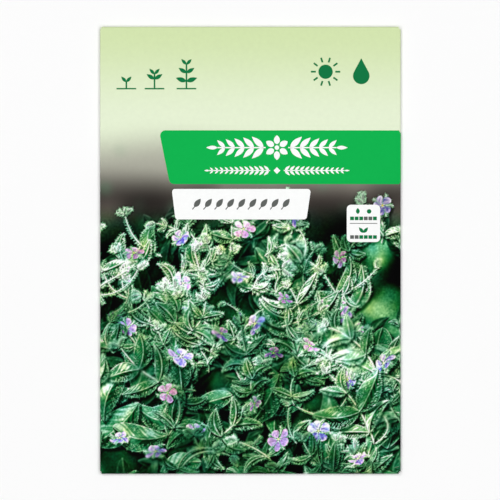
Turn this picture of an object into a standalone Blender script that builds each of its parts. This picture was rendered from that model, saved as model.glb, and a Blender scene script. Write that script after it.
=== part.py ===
"""A paper seed packet lying on its back, with loose borage seeds inside it.

The packet is one sheet of coated paper. Its front panel has four folds: a glue tab on the
left, the back panel on the right, and a flap at each end. The tab lies inside the pocket,
the back panel lies over it, and both flaps lie outside the back panel, so they are what
the packet rests on. The front panel is raised over the seeds.

Units are metres, with +Z up. The origin is the centre of the packet's outline, on the
surface that it lies on. +Y points to the packet's top edge.
"""

import math
import random

import bmesh
import bpy
from mathutils import Matrix, Vector

MM = 0.001

# Packet size, outside the folds
WIDTH = 80.0 * MM
HEIGHT = 119.0 * MM

# Paper, and the line of glue between two layers, which is left as a gap
PAPER = 0.2 * MM
GLUE_GAP = 0.1 * MM
LAYER = PAPER + GLUE_GAP

# Folds are half rounds of a few flat steps
FOLD_STEPS = 4
FOLD_REACH = PAPER / 2 / math.cos(math.pi / FOLD_STEPS / 2)
CORNER_RELIEF = 0.6 * MM

# Heights of the middle of each layer of paper
FLAP_Z = PAPER / 2
BACK_Z = FLAP_Z + LAYER
TAB_Z = BACK_Z + LAYER
RIM_Z = TAB_Z + LAYER

# Panels behind the front
TAB_WIDTH = 11.0 * MM
BACK_EDGE_INSET = 0.8 * MM
BOTTOM_FLAP = 15.0 * MM
TOP_FLAP = 20.0 * MM
FLAP_MITRE = 5.0 * MM
TAB_MITRE = 4.0 * MM

# The front panel's rise over the seeds
BULGE = 3.45 * MM
SHOULDER = 2.3
SIDE_SHOULDER = 22.0 * MM
BOTTOM_SHOULDER = 25.0 * MM
TOP_SHOULDER = 16.0 * MM
SLACK_FROM = -3.0 * MM
SLACK_TO = 44.0 * MM
SLACK_SHARE = 0.2
GRID_STEP = 4.2 * MM

# Seeds
SEED_COUNT = 50
SEED_LENGTH = 4.9 * MM
SEED_WIDTH = 2.9 * MM
SEED_DEPTH = 2.6 * MM
SEED_SIDES = 8
SEED_RIB = 0.07
SEED_GAP = 0.25 * MM
SEED_BED = Vector((0.0, -23.0 * MM))
SEED_BED_REACH = Vector((24.5 * MM, 18.5 * MM))
SEED_BED_POWER = 3
SEED_VARIANTS = 4
SEED_STRETCH = (0.95, 1.05)
SEED_PLUMPNESS = (0.96, 1.04)
RANDOM_SEED = 7

# Seeds are laid apart as if each were a little longer and wider than the largest variant
LAYING_LENGTH = 1.06
LAYING_WIDTH = 1.05
SPINE_STEPS = 6

# Each ring of a seed: share of the length from its base, and share of the full half width
SEED_RINGS = [(0.0, 0.52), (0.07, 0.72), (0.15, 0.6), (0.42, 0.97), (0.68, 0.86), (0.9, 0.44)]

PAPER_COLOUR = (0.70, 0.80, 0.55, 1.0)
PAPER_ROUGHNESS = 0.42
PAPER_SHARP_ANGLE = math.radians(30)
SEED_COLOUR = (0.035, 0.024, 0.018, 1.0)
SEED_ROUGHNESS = 0.75
SEED_SHARP_ANGLE = math.radians(40)


def clear_scene():
    for thing in list(bpy.data.objects):
        bpy.data.objects.remove(thing, do_unlink=True)


def material(name, colour, roughness):
    made = bpy.data.materials.new(name)
    made.use_nodes = True
    shader = made.node_tree.nodes["Principled BSDF"]
    shader.inputs["Base Color"].default_value = colour
    shader.inputs["Roughness"].default_value = roughness
    shader.inputs["Metallic"].default_value = 0.0
    return made


def add_object(name, mesh, surface):
    mesh.materials.clear()
    mesh.materials.append(surface)
    made = bpy.data.objects.new(name, mesh)
    bpy.context.scene.collection.objects.link(made)
    return made


def smoothstep(low, high, value):
    share = min(max((value - low) / (high - low), 0.0), 1.0)
    return share * share * (3 - 2 * share)


def rise(distance, reach):
    """The share of its full height that the panel has at a distance from a fold."""
    left = 1 - min(max(distance / reach, 0.0), 1.0)
    return 1 - left**SHOULDER


# Fold lines of the front panel, so that the outer faces of the folds meet the packet's size
LEFT = -(WIDTH / 2 - (RIM_Z - TAB_Z) / 2 - FOLD_REACH)
RIGHT = WIDTH / 2 - (RIM_Z - BACK_Z) / 2 - FOLD_REACH
TOP = HEIGHT / 2 - (RIM_Z - FLAP_Z) / 2 - FOLD_REACH
BOTTOM = -TOP


def front_height(x, y):
    """The height of the middle of the front panel's paper."""
    across = rise(x - LEFT, SIDE_SHOULDER) * rise(RIGHT - x, SIDE_SHOULDER)
    along = rise(y - BOTTOM, BOTTOM_SHOULDER) * rise(TOP - y, TOP_SHOULDER)
    slack = 1 - (1 - SLACK_SHARE) * smoothstep(SLACK_FROM, SLACK_TO, y)
    return RIM_Z + BULGE * across * along * slack


def stations(low, high):
    """Places along the front panel: both folds, the corner reliefs, and even steps between."""
    first, last = low + CORNER_RELIEF, high - CORNER_RELIEF
    steps = round((last - first) / GRID_STEP)
    inner = [first + (last - first) * i / steps for i in range(steps + 1)]
    return [low, *inner, high]


def front_panel(bm):
    xs, ys = stations(LEFT, RIGHT), stations(BOTTOM, TOP)
    rows = [[bm.verts.new((x, y, front_height(x, y))) for x in xs] for y in ys]
    for low, high in zip(rows, rows[1:]):
        for i in range(len(xs) - 1):
            bm.faces.new((low[i], low[i + 1], high[i + 1], high[i]))


def edges_along(bm, axis, value):
    """The front panel's border edges on a fold line, without those at the corner reliefs."""
    other = 1 - axis
    limits = ((LEFT, RIGHT), (BOTTOM, TOP))[other]
    margin = CORNER_RELIEF / 2
    found = []
    for edge in bm.edges:
        on_line = all(abs(v.co[axis] - value) < margin / 100 for v in edge.verts)
        inside = all(limits[0] + margin < v.co[other] < limits[1] - margin for v in edge.verts)
        at_rim = all(abs(v.co.z - RIM_Z) < margin / 100 for v in edge.verts)
        if edge.is_boundary and on_line and inside and at_rim:
            found.append(edge)
    return found


def fold_under(bm, axis, value, layer_z, depth, mitre):
    """Folds the sheet under the front panel along a line, and adds a panel of that depth.

    The panel lies at layer_z. Its far edge is shorter than the fold by mitre at each end.
    """
    outward = 1.0 if value > 0 else -1.0
    radius = (RIM_Z - layer_z) / 2
    centre = Vector((0, 0, RIM_Z - radius))
    centre[axis] = value
    hinge = Vector((0, outward, 0)) if axis == 0 else Vector((-outward, 0, 0))
    turned = bmesh.ops.spin(
        bm,
        geom=edges_along(bm, axis, value),
        cent=centre,
        axis=hinge,
        angle=math.pi,
        steps=FOLD_STEPS,
    )
    last = [part for part in turned["geom_last"] if isinstance(part, bmesh.types.BMEdge)]
    for vert in {v for edge in last for v in edge.verts}:
        vert.co.z = layer_z
        vert.co[axis] = value
    grown = bmesh.ops.extrude_edge_only(bm, edges=last)["geom"]
    other = 1 - axis
    ends = sorted(v.co[other] for part in last for v in part.verts)
    middle, half = (ends[0] + ends[-1]) / 2, (ends[-1] - ends[0]) / 2
    for vert in [part for part in grown if isinstance(part, bmesh.types.BMVert)]:
        vert.co[axis] -= outward * depth
        vert.co[other] = middle + (vert.co[other] - middle) * (half - mitre) / half


def build_envelope(surface):
    bm = bmesh.new()
    front_panel(bm)
    back_width = RIGHT - LEFT - BACK_EDGE_INSET
    fold_under(bm, 0, LEFT, TAB_Z, TAB_WIDTH, TAB_MITRE)
    fold_under(bm, 0, RIGHT, BACK_Z, back_width, 0.0)
    fold_under(bm, 1, BOTTOM, FLAP_Z, BOTTOM_FLAP, FLAP_MITRE)
    fold_under(bm, 1, TOP, FLAP_Z, TOP_FLAP, FLAP_MITRE)
    bmesh.ops.recalc_face_normals(bm, faces=bm.faces)
    mesh = bpy.data.meshes.new("envelope")
    bm.to_mesh(mesh)
    bm.free()
    envelope = add_object("envelope", mesh, surface)
    thickness = envelope.modifiers.new("paper", "SOLIDIFY")
    thickness.thickness = PAPER
    thickness.offset = 0.0
    thickness.use_even_offset = True
    mesh.shade_smooth()
    mesh.set_sharp_from_angle(angle=PAPER_SHARP_ANGLE)


def seed_mesh(name, stretch, plumpness):
    """An oblong nutlet along X, with a ring round its base, ribs, and a blunt tip."""
    bm = bmesh.new()
    length = SEED_LENGTH * stretch
    half_width, half_depth = SEED_WIDTH / 2 * plumpness, SEED_DEPTH / 2 * plumpness
    rings = []
    for along, share in SEED_RINGS:
        ring = []
        for i in range(SEED_SIDES):
            angle = 2 * math.pi * i / SEED_SIDES
            reach = share * (1 - SEED_RIB * (i % 2))
            place = Vector(
                (
                    (along - 0.5) * length,
                    math.cos(angle) * half_width * reach,
                    math.sin(angle) * half_depth * reach,
                )
            )
            ring.append(bm.verts.new(place))
        rings.append(ring)
    for near, far in zip(rings, rings[1:]):
        for i in range(SEED_SIDES):
            j = (i + 1) % SEED_SIDES
            bm.faces.new((near[i], near[j], far[j], far[i]))
    bm.faces.new(rings[0])
    tip = bm.verts.new((length / 2, 0, 0))
    for i in range(SEED_SIDES):
        bm.faces.new((rings[-1][i], rings[-1][(i + 1) % SEED_SIDES], tip))
    bmesh.ops.recalc_face_normals(bm, faces=bm.faces)
    mesh = bpy.data.meshes.new(name)
    bm.to_mesh(mesh)
    bm.free()
    mesh.shade_smooth()
    mesh.set_sharp_from_angle(angle=SEED_SHARP_ANGLE)
    return mesh


def spine(place, angle, length):
    """The middle line of a seed seen from above."""
    half = Vector((math.cos(angle), math.sin(angle))) * (length - SEED_WIDTH) / 2
    return place - half, place + half


def spine_distance(first, second):
    """The least distance between two middle lines, read at a few places along each."""
    shares = [i / SPINE_STEPS for i in range(SPINE_STEPS + 1)]
    ones = [first[0].lerp(first[1], s) for s in shares]
    twos = [second[0].lerp(second[1], s) for s in shares]
    return min((a - b).length for a in ones for b in twos)


def seed_layout(draw):
    """Where each seed lies: scattered in one layer in the low part of the pocket."""
    placed = []
    longest = SEED_LENGTH * LAYING_LENGTH
    apart = SEED_WIDTH * LAYING_WIDTH + SEED_GAP
    while len(placed) < SEED_COUNT:
        u, v = draw.uniform(-1, 1), draw.uniform(-1, 1)
        if abs(u) ** SEED_BED_POWER + abs(v) ** SEED_BED_POWER > 1:
            continue
        place = SEED_BED + Vector((u * SEED_BED_REACH.x, v * SEED_BED_REACH.y))
        angle = draw.uniform(0, 2 * math.pi)
        line = spine(place, angle, longest)
        if all(spine_distance(line, other[2]) > apart for other in placed):
            placed.append((place, angle, line))
    return placed


def build_seeds(surface):
    draw = random.Random(RANDOM_SEED)
    meshes = [
        seed_mesh(f"seed_shape_{i}", draw.uniform(*SEED_STRETCH), draw.uniform(*SEED_PLUMPNESS))
        for i in range(SEED_VARIANTS)
    ]
    floor = BACK_Z + PAPER / 2 + SEED_GAP
    for i, (place, angle, _) in enumerate(seed_layout(draw)):
        mesh = meshes[i % SEED_VARIANTS]
        turn = Matrix.Rotation(angle, 4, "Z") @ Matrix.Rotation(draw.uniform(0, math.pi), 4, "X")
        lowest = min((turn @ v.co).z for v in mesh.vertices)
        seed = add_object(f"seed_{i + 1:02d}", mesh, surface)
        seed.matrix_world = Matrix.Translation((place.x, place.y, floor - lowest)) @ turn


def main():
    clear_scene()
    build_envelope(material("coated_paper", PAPER_COLOUR, PAPER_ROUGHNESS))
    build_seeds(material("seed_coat", SEED_COLOUR, SEED_ROUGHNESS))


main()
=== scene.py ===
import random
from cmath import phase, rect
from math import atan, ceil, copysign, cos, hypot, pi, radians, sin, tau
from typing import Callable, NamedTuple

import bmesh
import bpy
import numpy as np
from mathutils import Matrix, Vector
from mathutils.geometry import delaunay_2d_cdt


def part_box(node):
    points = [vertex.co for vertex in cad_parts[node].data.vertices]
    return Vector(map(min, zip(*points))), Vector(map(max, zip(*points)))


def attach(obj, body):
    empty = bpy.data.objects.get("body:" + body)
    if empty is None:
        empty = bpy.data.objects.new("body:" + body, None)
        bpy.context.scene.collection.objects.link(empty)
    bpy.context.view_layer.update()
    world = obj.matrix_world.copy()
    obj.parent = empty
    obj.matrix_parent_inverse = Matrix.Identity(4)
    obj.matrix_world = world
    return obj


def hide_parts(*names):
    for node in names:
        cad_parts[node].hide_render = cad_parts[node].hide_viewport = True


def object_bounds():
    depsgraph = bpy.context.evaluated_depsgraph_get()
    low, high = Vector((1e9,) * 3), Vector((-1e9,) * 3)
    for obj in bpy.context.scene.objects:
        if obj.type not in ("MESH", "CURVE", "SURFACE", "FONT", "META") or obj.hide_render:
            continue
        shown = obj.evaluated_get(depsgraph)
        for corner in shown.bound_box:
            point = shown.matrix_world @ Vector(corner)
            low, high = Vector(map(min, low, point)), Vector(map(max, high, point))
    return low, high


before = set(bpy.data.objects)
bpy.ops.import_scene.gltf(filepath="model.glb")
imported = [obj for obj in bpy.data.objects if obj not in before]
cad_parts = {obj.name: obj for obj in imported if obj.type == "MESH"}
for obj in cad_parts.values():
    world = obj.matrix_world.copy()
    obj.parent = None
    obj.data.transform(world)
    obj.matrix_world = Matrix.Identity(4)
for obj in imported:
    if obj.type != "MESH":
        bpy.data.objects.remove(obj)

CAD_BOX = [list(corner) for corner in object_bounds()]

# Sizes and places are in millimetres, and add_piece brings each mesh to metres
MM = 0.001
WIDTH = (CAD_BOX[1][0] - CAD_BOX[0][0]) / MM
HEIGHT = (CAD_BOX[1][1] - CAD_BOX[0][1]) / MM

# The folded sheet, as in the model that it replaces
PAPER = 0.2
LAYER = 0.3
FOLD_STEPS = 8
FOLD_REACH = PAPER / 2 / cos(pi / FOLD_STEPS / 2)
CORNER_RELIEF = 0.12
CORNER_PINCH = (0.2, 0.42, 0.2)
CORNER_REACH = 1.2
FLAP_Z = PAPER / 2
BACK_Z = FLAP_Z + LAYER
TAB_Z = BACK_Z + LAYER
RIM_Z = TAB_Z + LAYER
TAB_WIDTH = 11.0
TAB_MITRE = 4.0
BACK_EDGE_INSET = 0.8
BOTTOM_FLAP = 15.0
TOP_FLAP = 20.0
FLAP_MITRE = 5.0
SHEET_STEP = 0.85
BLEED = 0.2

LEFT = -(WIDTH / 2 - (RIM_Z - TAB_Z) / 2 - FOLD_REACH)
RIGHT = WIDTH / 2 - (RIM_Z - BACK_Z) / 2 - FOLD_REACH
TOP = HEIGHT / 2 - (RIM_Z - FLAP_Z) / 2 - FOLD_REACH
BOTTOM = -TOP
RIGHT_FOLD = pi * (RIM_Z - BACK_Z) / 2

# The rise of the front over the seeds, with small lumps and with creases from its corners
BULGE = 3.45
SHOULDER = 2.3
SIDE_SHOULDER = 22.0
BOTTOM_SHOULDER = 25.0
TOP_SHOULDER = 16.0
SLACK_FROM = -3.0
SLACK_TO = 44.0
SLACK_SHARE = 0.2
LUMP, LUMP_REACH = 0.1, 2.0
CREASE, CREASE_PLACE, CREASE_REACH = 0.05, 15.0, 9.0
CREASE_WAVES = 9
CREASE_TURNS = {(-1, -1): 0.3, (1, -1): 1.4, (-1, 1): 2.2, (1, 1): 4.0}
RELIEF_FROM, RELIEF_TO = 0.5, 7.0

# Printed films lie one on another on the paper
PICTURE_LIFT = 0.03
PANEL_LIFT = 0.06
ORNAMENT_LIFT = 0.085
FILM_ROOT = -0.06
FILM_STEP = 1.0
FILM_CLEAR = 0.08 * FILM_STEP
FILM_MERGE = 1e-4
PICTURE_CELL = 0.17
PICTURE_COARSE = 8
PICTURE_STRIPS = 3
PICTURE_TOP = 33.5
PAINT_PIXEL = 0.09
MAP_BORDER = 0.01

SEEDS = [name for name in sorted(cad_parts) if name.startswith("seed_")]
SEED_PLACES = [sum(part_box(name), Vector()) / 2 / MM for name in SEEDS]


def linear(red, green, blue):
    """A display colour, from 0 to 255 a channel, as linear light."""
    shown = np.array((red, green, blue), float) / 255
    return np.where(shown <= 0.04045, shown / 12.92, ((shown + 0.055) / 1.055) ** 2.4)


def mix(first, second, share):
    share = np.asarray(share)[..., None]
    return first * (1 - share) + second * share


def smoothstep(low, high, value):
    share = np.clip((value - low) / (high - low), 0, 1)
    return share * share * (3 - 2 * share)


# Inks
HEADER_TOP = linear(210, 227, 174)
HEADER_FOOT = linear(229, 240, 211)
BANNER_GREEN = linear(12, 178, 78)
ICON_GREEN = linear(16, 118, 66)
ICON_GREY = linear(96, 100, 97)
WHITE = linear(250, 251, 250)
BACK_PALE = linear(238, 244, 228)
NIGHT = linear(0, 10, 6)
DEEP_GREEN = linear(0, 54, 34)
LEAF_GREEN = linear(8, 100, 62)
FRESH_GREEN = linear(72, 160, 88)
YELLOW_GREEN = linear(150, 190, 70)
SAGE = linear(88, 142, 106)
PALE_SAGE = linear(158, 194, 162)
DOWN = linear(228, 241, 222)
FUZZ = linear(168, 214, 172)
BLUSH = linear(196, 150, 142)
CREAM = linear(236, 222, 206)
VIOLET = linear(104, 92, 158)
BLUE = linear(102, 110, 164)
LILAC = linear(204, 188, 226)
PINK = linear(204, 156, 194)
EYE = linear(240, 240, 214)
POLLEN = linear(206, 196, 96)
STAMEN = linear(58, 44, 84)
HAZE = linear(172, 172, 158)
BROWN = linear(100, 92, 86)
DARK_BROWN = linear(24, 24, 20)
LUMINANCE = np.array((0.2126, 0.7152, 0.0722))

# The plants' scale of tones, from shade to light
GREEN_TONES = np.array([linear(*tone) for tone in (
    (0, 0, 0), (0, 18, 8), (0, 64, 38), (6, 104, 62),
    (58, 138, 92), (124, 176, 136), (184, 214, 182), (255, 255, 255),
)])


# The shape of the paper


def rise(distance, reach):
    """The share of its full height that the panel has at a distance from a fold."""
    return 1 - (1 - np.clip(distance / reach, 0, 1)) ** SHOULDER


def relief(x, y):
    """Small lumps over the seeds and soft creases from the corners, gone at the rims."""
    height = np.zeros_like(x)
    for seed in SEED_PLACES:
        height += LUMP * np.exp(-((x - seed.x) ** 2 + (y - seed.y) ** 2) / (2 * LUMP_REACH**2))
    for (side_x, side_y), turn in CREASE_TURNS.items():
        corner_x, corner_y = WIDTH / 2 - x * side_x, HEIGHT / 2 - y * side_y
        wave = np.cos(CREASE_WAVES * np.arctan2(corner_y, corner_x) + turn)
        away = (np.hypot(corner_x, corner_y) - CREASE_PLACE) / CREASE_REACH
        height += CREASE * wave * np.exp(-(away**2))
    near = np.minimum(np.minimum(x - LEFT, RIGHT - x), np.minimum(y - BOTTOM, TOP - y))
    return height * smoothstep(RELIEF_FROM, RELIEF_TO, near)


def front_height(x, y):
    """The height of the middle of the front panel's paper."""
    across = rise(x - LEFT, SIDE_SHOULDER) * rise(RIGHT - x, SIDE_SHOULDER)
    along = rise(y - BOTTOM, BOTTOM_SHOULDER) * rise(TOP - y, TOP_SHOULDER)
    slack = 1 - (1 - SLACK_SHARE) * smoothstep(SLACK_FROM, SLACK_TO, y)
    return RIM_Z + BULGE * across * along * slack + relief(x, y)


def front_surface(x, y, lift):
    """The height of the front's outer face, or of what lies on it at that lift."""
    reach = 0.02
    slope_x = (front_height(x + reach, y) - front_height(x - reach, y)) / (2 * reach)
    slope_y = (front_height(x, y + reach) - front_height(x, y - reach)) / (2 * reach)
    stretch = np.sqrt(1 + slope_x**2 + slope_y**2)
    return front_height(x, y) + (PAPER / 2 + lift) * stretch


def outer_face(u, v, lift):
    """Places on the front's outer face and, past the right fold, round it and on the back."""
    radius = (RIM_Z - BACK_Z) / 2
    past = np.maximum(u - RIGHT, 0)
    turn = np.minimum(past / radius, pi)
    beyond = np.maximum(past - RIGHT_FOLD, 0)
    reach = radius + PAPER / 2 + lift
    x = np.where(past > 0, RIGHT + reach * np.sin(turn) - beyond, u)
    fold_z = RIM_Z - radius + reach * np.cos(turn)
    z = np.where(past > 0, fold_z, front_surface(np.minimum(u, RIGHT), v, lift))
    return np.stack((x, v, z), axis=-1)


def back_face(u, v, lift):
    """Places on the back panel's outer face, with u to the right for a viewer behind it."""
    return np.stack((-u, v, np.full_like(u, BACK_Z - PAPER / 2 - lift)), axis=-1)


# Painting of the printed picture
DRAW = random.Random(33)


def low_pass(picture, sigma):
    """A picture of one channel, without what is finer than sigma pixels."""
    down = np.fft.fftfreq(picture.shape[0])[:, None]
    across = np.fft.rfftfreq(picture.shape[1])
    fade = np.exp(-2 * (pi * sigma) ** 2 * (down**2 + across**2))
    return np.fft.irfft2(np.fft.rfft2(picture) * fade, picture.shape)


def softened(picture, sigma):
    """A picture blurred by sigma pixels, as if its border colours went on outside it."""
    pad = int(3 * sigma)
    padded = np.pad(picture, ((pad, pad), (pad, pad), (0, 0)), mode="edge")
    channels = [low_pass(padded[..., i], sigma)[pad:-pad, pad:-pad] for i in range(3)]
    return np.stack(channels, axis=-1)


def nearest(u, v):
    """The four pixels round each place, by their columns, rows and shares of it."""
    for right, up in ((0, 0), (1, 0), (0, 1), (1, 1)):
        column, row = np.floor(u).astype(int) + right, np.floor(v).astype(int) + up
        yield column, row, (1 - np.abs(u - column)) * (1 - np.abs(v - row))


class Strip(NamedTuple):
    """A leaf, petal, bud or stem: a strip with a bowed middle line.

    outline(a) is its share of full width at the share a of its length.
    """

    place: tuple
    angle: float
    length: float
    width: float
    bend: float
    outline: Callable

    def at(self, a, aside=0.0):
        """The place at the share a of its length, that far aside from its middle line."""
        aside = aside + self.bend * 4 * a * (1 - a)
        along, across = cos(self.angle), sin(self.angle)
        x = self.place[0] + a * self.length * along - aside * across
        y = self.place[1] + a * self.length * across + aside * along
        return x, y

    def heading(self, a):
        """The direction of its middle line there."""
        return self.angle + atan(self.bend * 4 * (1 - 2 * a) / self.length)


class Canvas:
    """Ink colours over the packet's front, one for each pixel of paper, painted by formula."""

    def __init__(self, width, height, pixel):
        self.pixel = pixel
        self.columns, self.rows = round(width / pixel), round(height / pixel)
        self.left, self.bottom = -width / 2, -height / 2
        self.x = self.left + (np.arange(self.columns) + 0.5) * pixel
        self.y = self.bottom + (np.arange(self.rows)[:, None] + 0.5) * pixel
        self.ink = np.zeros((self.rows, self.columns, 3), np.float32)
        self.exposure = 1.0

    def noise(self, size, rng):
        """Smooth noise with a mean of 0, a spread of 1 and lumps of about that size."""
        made = low_pass(rng.standard_normal(self.ink.shape[:2]), size / self.pixel / 3)
        return (made - made.mean()) / made.std()

    def window(self, x, y, reach):
        """The rows and columns within reach of places, or None if the canvas has none."""
        spans = []
        for at, start, count in ((y, self.bottom, self.rows), (x, self.left, self.columns)):
            first = max(0, int((np.min(at) - reach - start) / self.pixel))
            last = min(count, int((np.max(at) + reach - start) / self.pixel) + 1)
            if first >= last:
                return None
            spans.append(slice(first, last))
        return tuple(spans)

    def lay(self, window, colour, cover):
        under = self.ink[window]
        under += (colour * self.exposure - under) * cover[..., None]

    def fill(self, strip, paint, cover=1.0, soft=None):
        """Lays a strip. paint is a colour, or paint(a, s, half) gives it at the share a of the
        strip's length, with s from -1 to 1 across its half width there."""
        soft = soft or self.pixel
        reach = strip.length / 2 + abs(strip.bend) + strip.width + soft
        window = self.window(*strip.at(0.5), reach)
        if window is None:
            return
        along, across = cos(strip.angle), sin(strip.angle)
        x, y = self.x[window[1]] - strip.place[0], self.y[window[0]] - strip.place[1]
        a = (x * along + y * across) / strip.length
        c = y * along - x * across - strip.bend * 4 * a * (1 - a)
        inside = np.clip(a, 0, 1)
        half = np.maximum(strip.width / 2 * strip.outline(inside), 1e-6)
        ends = np.clip(np.minimum(a, 1 - a) * strip.length / soft + 0.5, 0, 1)
        mask = np.clip((half - np.abs(c)) / soft + 0.5, 0, 1) * ends
        if mask.any():
            colour = paint(inside, np.clip(c / half, -1, 1), half) if callable(paint) else paint
            self.lay(window, colour, mask * cover)

    def shade(self, strip, right, down, longer, wider, cover, soft):
        """A soft shadow to the right of a strip and below it."""
        place = (strip.place[0] + right, strip.place[1] - down)
        cast = strip._replace(place=place, length=strip.length * longer, width=strip.width * wider)
        self.fill(cast, NIGHT, cover, soft)

    def spot(self, x, y, width, height, colour, cover=1.0, soft=None):
        """A round spot with its middle at a place."""
        strip = Strip((x - width / 2, y), 0.0, width, height, 0.0, round_outline)
        self.fill(strip, colour, cover, soft)

    def hairs(self, x, y, angle, reach, strength):
        """Fine strokes that fade out from each place, at its own angle and as far as its reach."""
        shares = np.linspace(0, 1, 12)
        x = (x[:, None] + (np.cos(angle) * reach)[:, None] * shares).ravel()
        y = (y[:, None] + (np.sin(angle) * reach)[:, None] * shares).ravel()
        window = self.window(x, y, 2 * self.pixel)
        if window is None:
            return
        weight = np.tile(1 - 0.75 * shares, len(angle)) * strength
        rows, columns = (span.stop - span.start for span in window)
        u = (x - self.left) / self.pixel - 0.5 - window[1].start
        v = (y - self.bottom) / self.pixel - 0.5 - window[0].start
        cover = np.zeros(rows * columns)
        for column, row, share in nearest(u, v):
            good = (column >= 0) & (column < columns) & (row >= 0) & (row < rows)
            index = row[good] * columns + column[good]
            cover += np.bincount(index, (share * weight)[good], minlength=len(cover))
        self.lay(window, FUZZ, 1 - np.exp(-cover.reshape(rows, columns)))

    def blur(self, reach, share=1.0):
        """Softens what is painted so far, by a share that may differ from place to place."""
        share = np.asarray(share)[..., None]
        self.ink += (softened(self.ink, reach / self.pixel) - self.ink) * share

    def sharpen(self, reach):
        """Brings out edges, as a picture is sharpened for print."""
        shown = np.sqrt(np.clip(self.ink, 0, 1))
        shown += shown - softened(shown, reach / self.pixel)
        self.ink = np.clip(shown, 0, 1) ** 2

    def contrast(self, gain, middle, share):
        """Spreads the shown tones about their middle, by a share for each place."""
        shown = np.clip(self.ink, 0, 1) ** (1 / 2.2)
        spread = np.clip(middle + (shown - middle) * gain, 0, 1)
        self.ink += (spread**2.2 - self.ink) * share[..., None]

    def grade(self, share):
        """Draws greens and greys to the plants' own scale of tones, and leaves violets alone."""
        light, scale = self.ink @ LUMINANCE, GREEN_TONES @ LUMINANCE
        toned = np.stack([np.interp(light, scale, tones) for tones in GREEN_TONES.T], axis=-1)
        cool = self.ink[..., 2] / np.maximum(self.ink[..., 1], 1e-4)
        share = share * (1 - smoothstep(0.95, 1.3, cool))
        self.ink += (toned - self.ink) * share[..., None]

    def sample(self, x, y):
        """The ink at places on the paper, blended between the four nearest pixels."""
        u = np.clip((x - self.left) / self.pixel - 0.5, 0, self.columns - 1.001)
        v = np.clip((y - self.bottom) / self.pixel - 0.5, 0, self.rows - 1.001)
        spots = nearest(u, v)
        return sum(self.ink[row, column] * share[..., None] for column, row, share in spots)


def swelling(skew, fullness):
    """An outline between two points, which is widest nearer its tip the higher its skew is."""
    return lambda a: np.clip(np.sin(pi * a**skew), 0, 1) ** fullness


LEAF_OUTLINE = swelling(0.8, 0.8)
BUD_OUTLINE = swelling(0.7, 0.7)
PETAL_OUTLINE = swelling(1.75, 0.55)


def stem_outline(a):
    return (1 - 0.45 * a) * (1 - (2 * a - 1) ** 12)


def round_outline(a):
    return 2 * np.sqrt(np.clip(a * (1 - a), 0, 1))


LIGHT = radians(120)
RIM_REACH = 0.2
RIB_REACH = 0.09
HAIR_REACH = 0.6


def fringe(canvas, strip, count, reach, strength):
    """Down along both edges of a strip, leaning to its tip."""
    rng = np.random.default_rng(DRAW.randrange(1 << 30))
    a = rng.uniform(0.02, 0.98, count)
    side = rng.choice((-1.0, 1.0), count)
    aside = side * strip.width / 2 * strip.outline(a) * rng.uniform(0.4, 1.0, count)
    lean = strip.angle + side * rng.uniform(0.5, 1.5, count)
    canvas.hairs(*strip.at(a, aside), lean, reach * rng.uniform(0.5, 1.3, count), strength)


def leaf(canvas, place, angle, length, width, dark, light, down, hairs, shadow=0.8):
    """A leaf with a pale rib, veins and rim, folded along it, so one half catches the light."""
    strip = Strip(place, angle, length, width, length * DRAW.uniform(-0.22, 0.22), LEAF_OUTLINE)
    veins = DRAW.uniform(5.5, 8.0)
    facing = sin(LIGHT - angle)
    facing = copysign(max(0.35, abs(facing)), facing)
    fold = DRAW.uniform(0.7, 1.0)
    wave, ripple = DRAW.uniform(0, 6), DRAW.uniform(7, 12)
    gain = DRAW.uniform(0.75, 1.2)

    def paint(a, s, half):
        across = np.abs(s)
        rib = np.exp(-((s * half / RIB_REACH) ** 2) / 2) * (1 - 0.4 * a)
        turn = ((a + 0.3 * across) * veins) % 1
        vein = np.exp(-((np.minimum(turn, 1 - turn) / 0.1) ** 2)) * (1 - across**4)
        quilt = -0.1 * np.cos(2 * pi * turn)
        patch = 0.15 * np.sin(wave + 0.92 * a * ripple) * np.sin(2 * wave + 4 * s)
        side = 0.5 * facing * np.tanh(6 * s) * fold * (1 - 0.4 * across)
        tip = 0.25 * cos(LIGHT - angle) * (a - 0.4)
        ripples = 0.12 * np.sin(wave + ripple * a + 3 * s)
        lit = np.clip(gain * (0.4 + side + quilt + tip + ripples + patch), 0, 1)
        rim = smoothstep(half - RIM_REACH, half, across * half) * (0.1 + 0.9 * lit)
        catch = smoothstep(0.72, 1.0, lit)
        glow = 0.7 * rib * (0.4 + lit) + 0.25 * vein * lit + 0.9 * rim + 0.7 * catch
        return mix(mix(dark, light, lit), DOWN, np.clip(glow * (0.3 + down), 0, 0.95))

    if shadow:
        canvas.shade(strip, 0.5, 0.8, 1.03, 1.15, shadow, 0.8)
    canvas.fill(strip, paint)
    if hairs:
        fringe(canvas, strip, int(length / 0.06), HAIR_REACH, hairs)


def stem(canvas, strip, blush):
    """A downy stem, flushed with pink as far as blush says."""
    colour, bright = mix(PALE_SAGE, BLUSH, blush), mix(DOWN, CREAM, blush)
    facing = 1 if sin(LIGHT - strip.angle) > 0 else -1

    def paint(a, s, half):
        lit = np.clip(0.5 + 0.6 * facing * s, 0, 1)
        shine = 0.75 * smoothstep(0.4, 1, lit) * (1 - np.abs(s) ** 3)
        return mix(mix(DEEP_GREEN, colour, lit), bright, shine)

    canvas.shade(strip, 0.35, 0.45, 1.0, 1.5, 0.6, 0.4)
    canvas.fill(strip, paint)
    fringe(canvas, strip, int(strip.length / 0.09), HAIR_REACH, 0.38)


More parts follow.
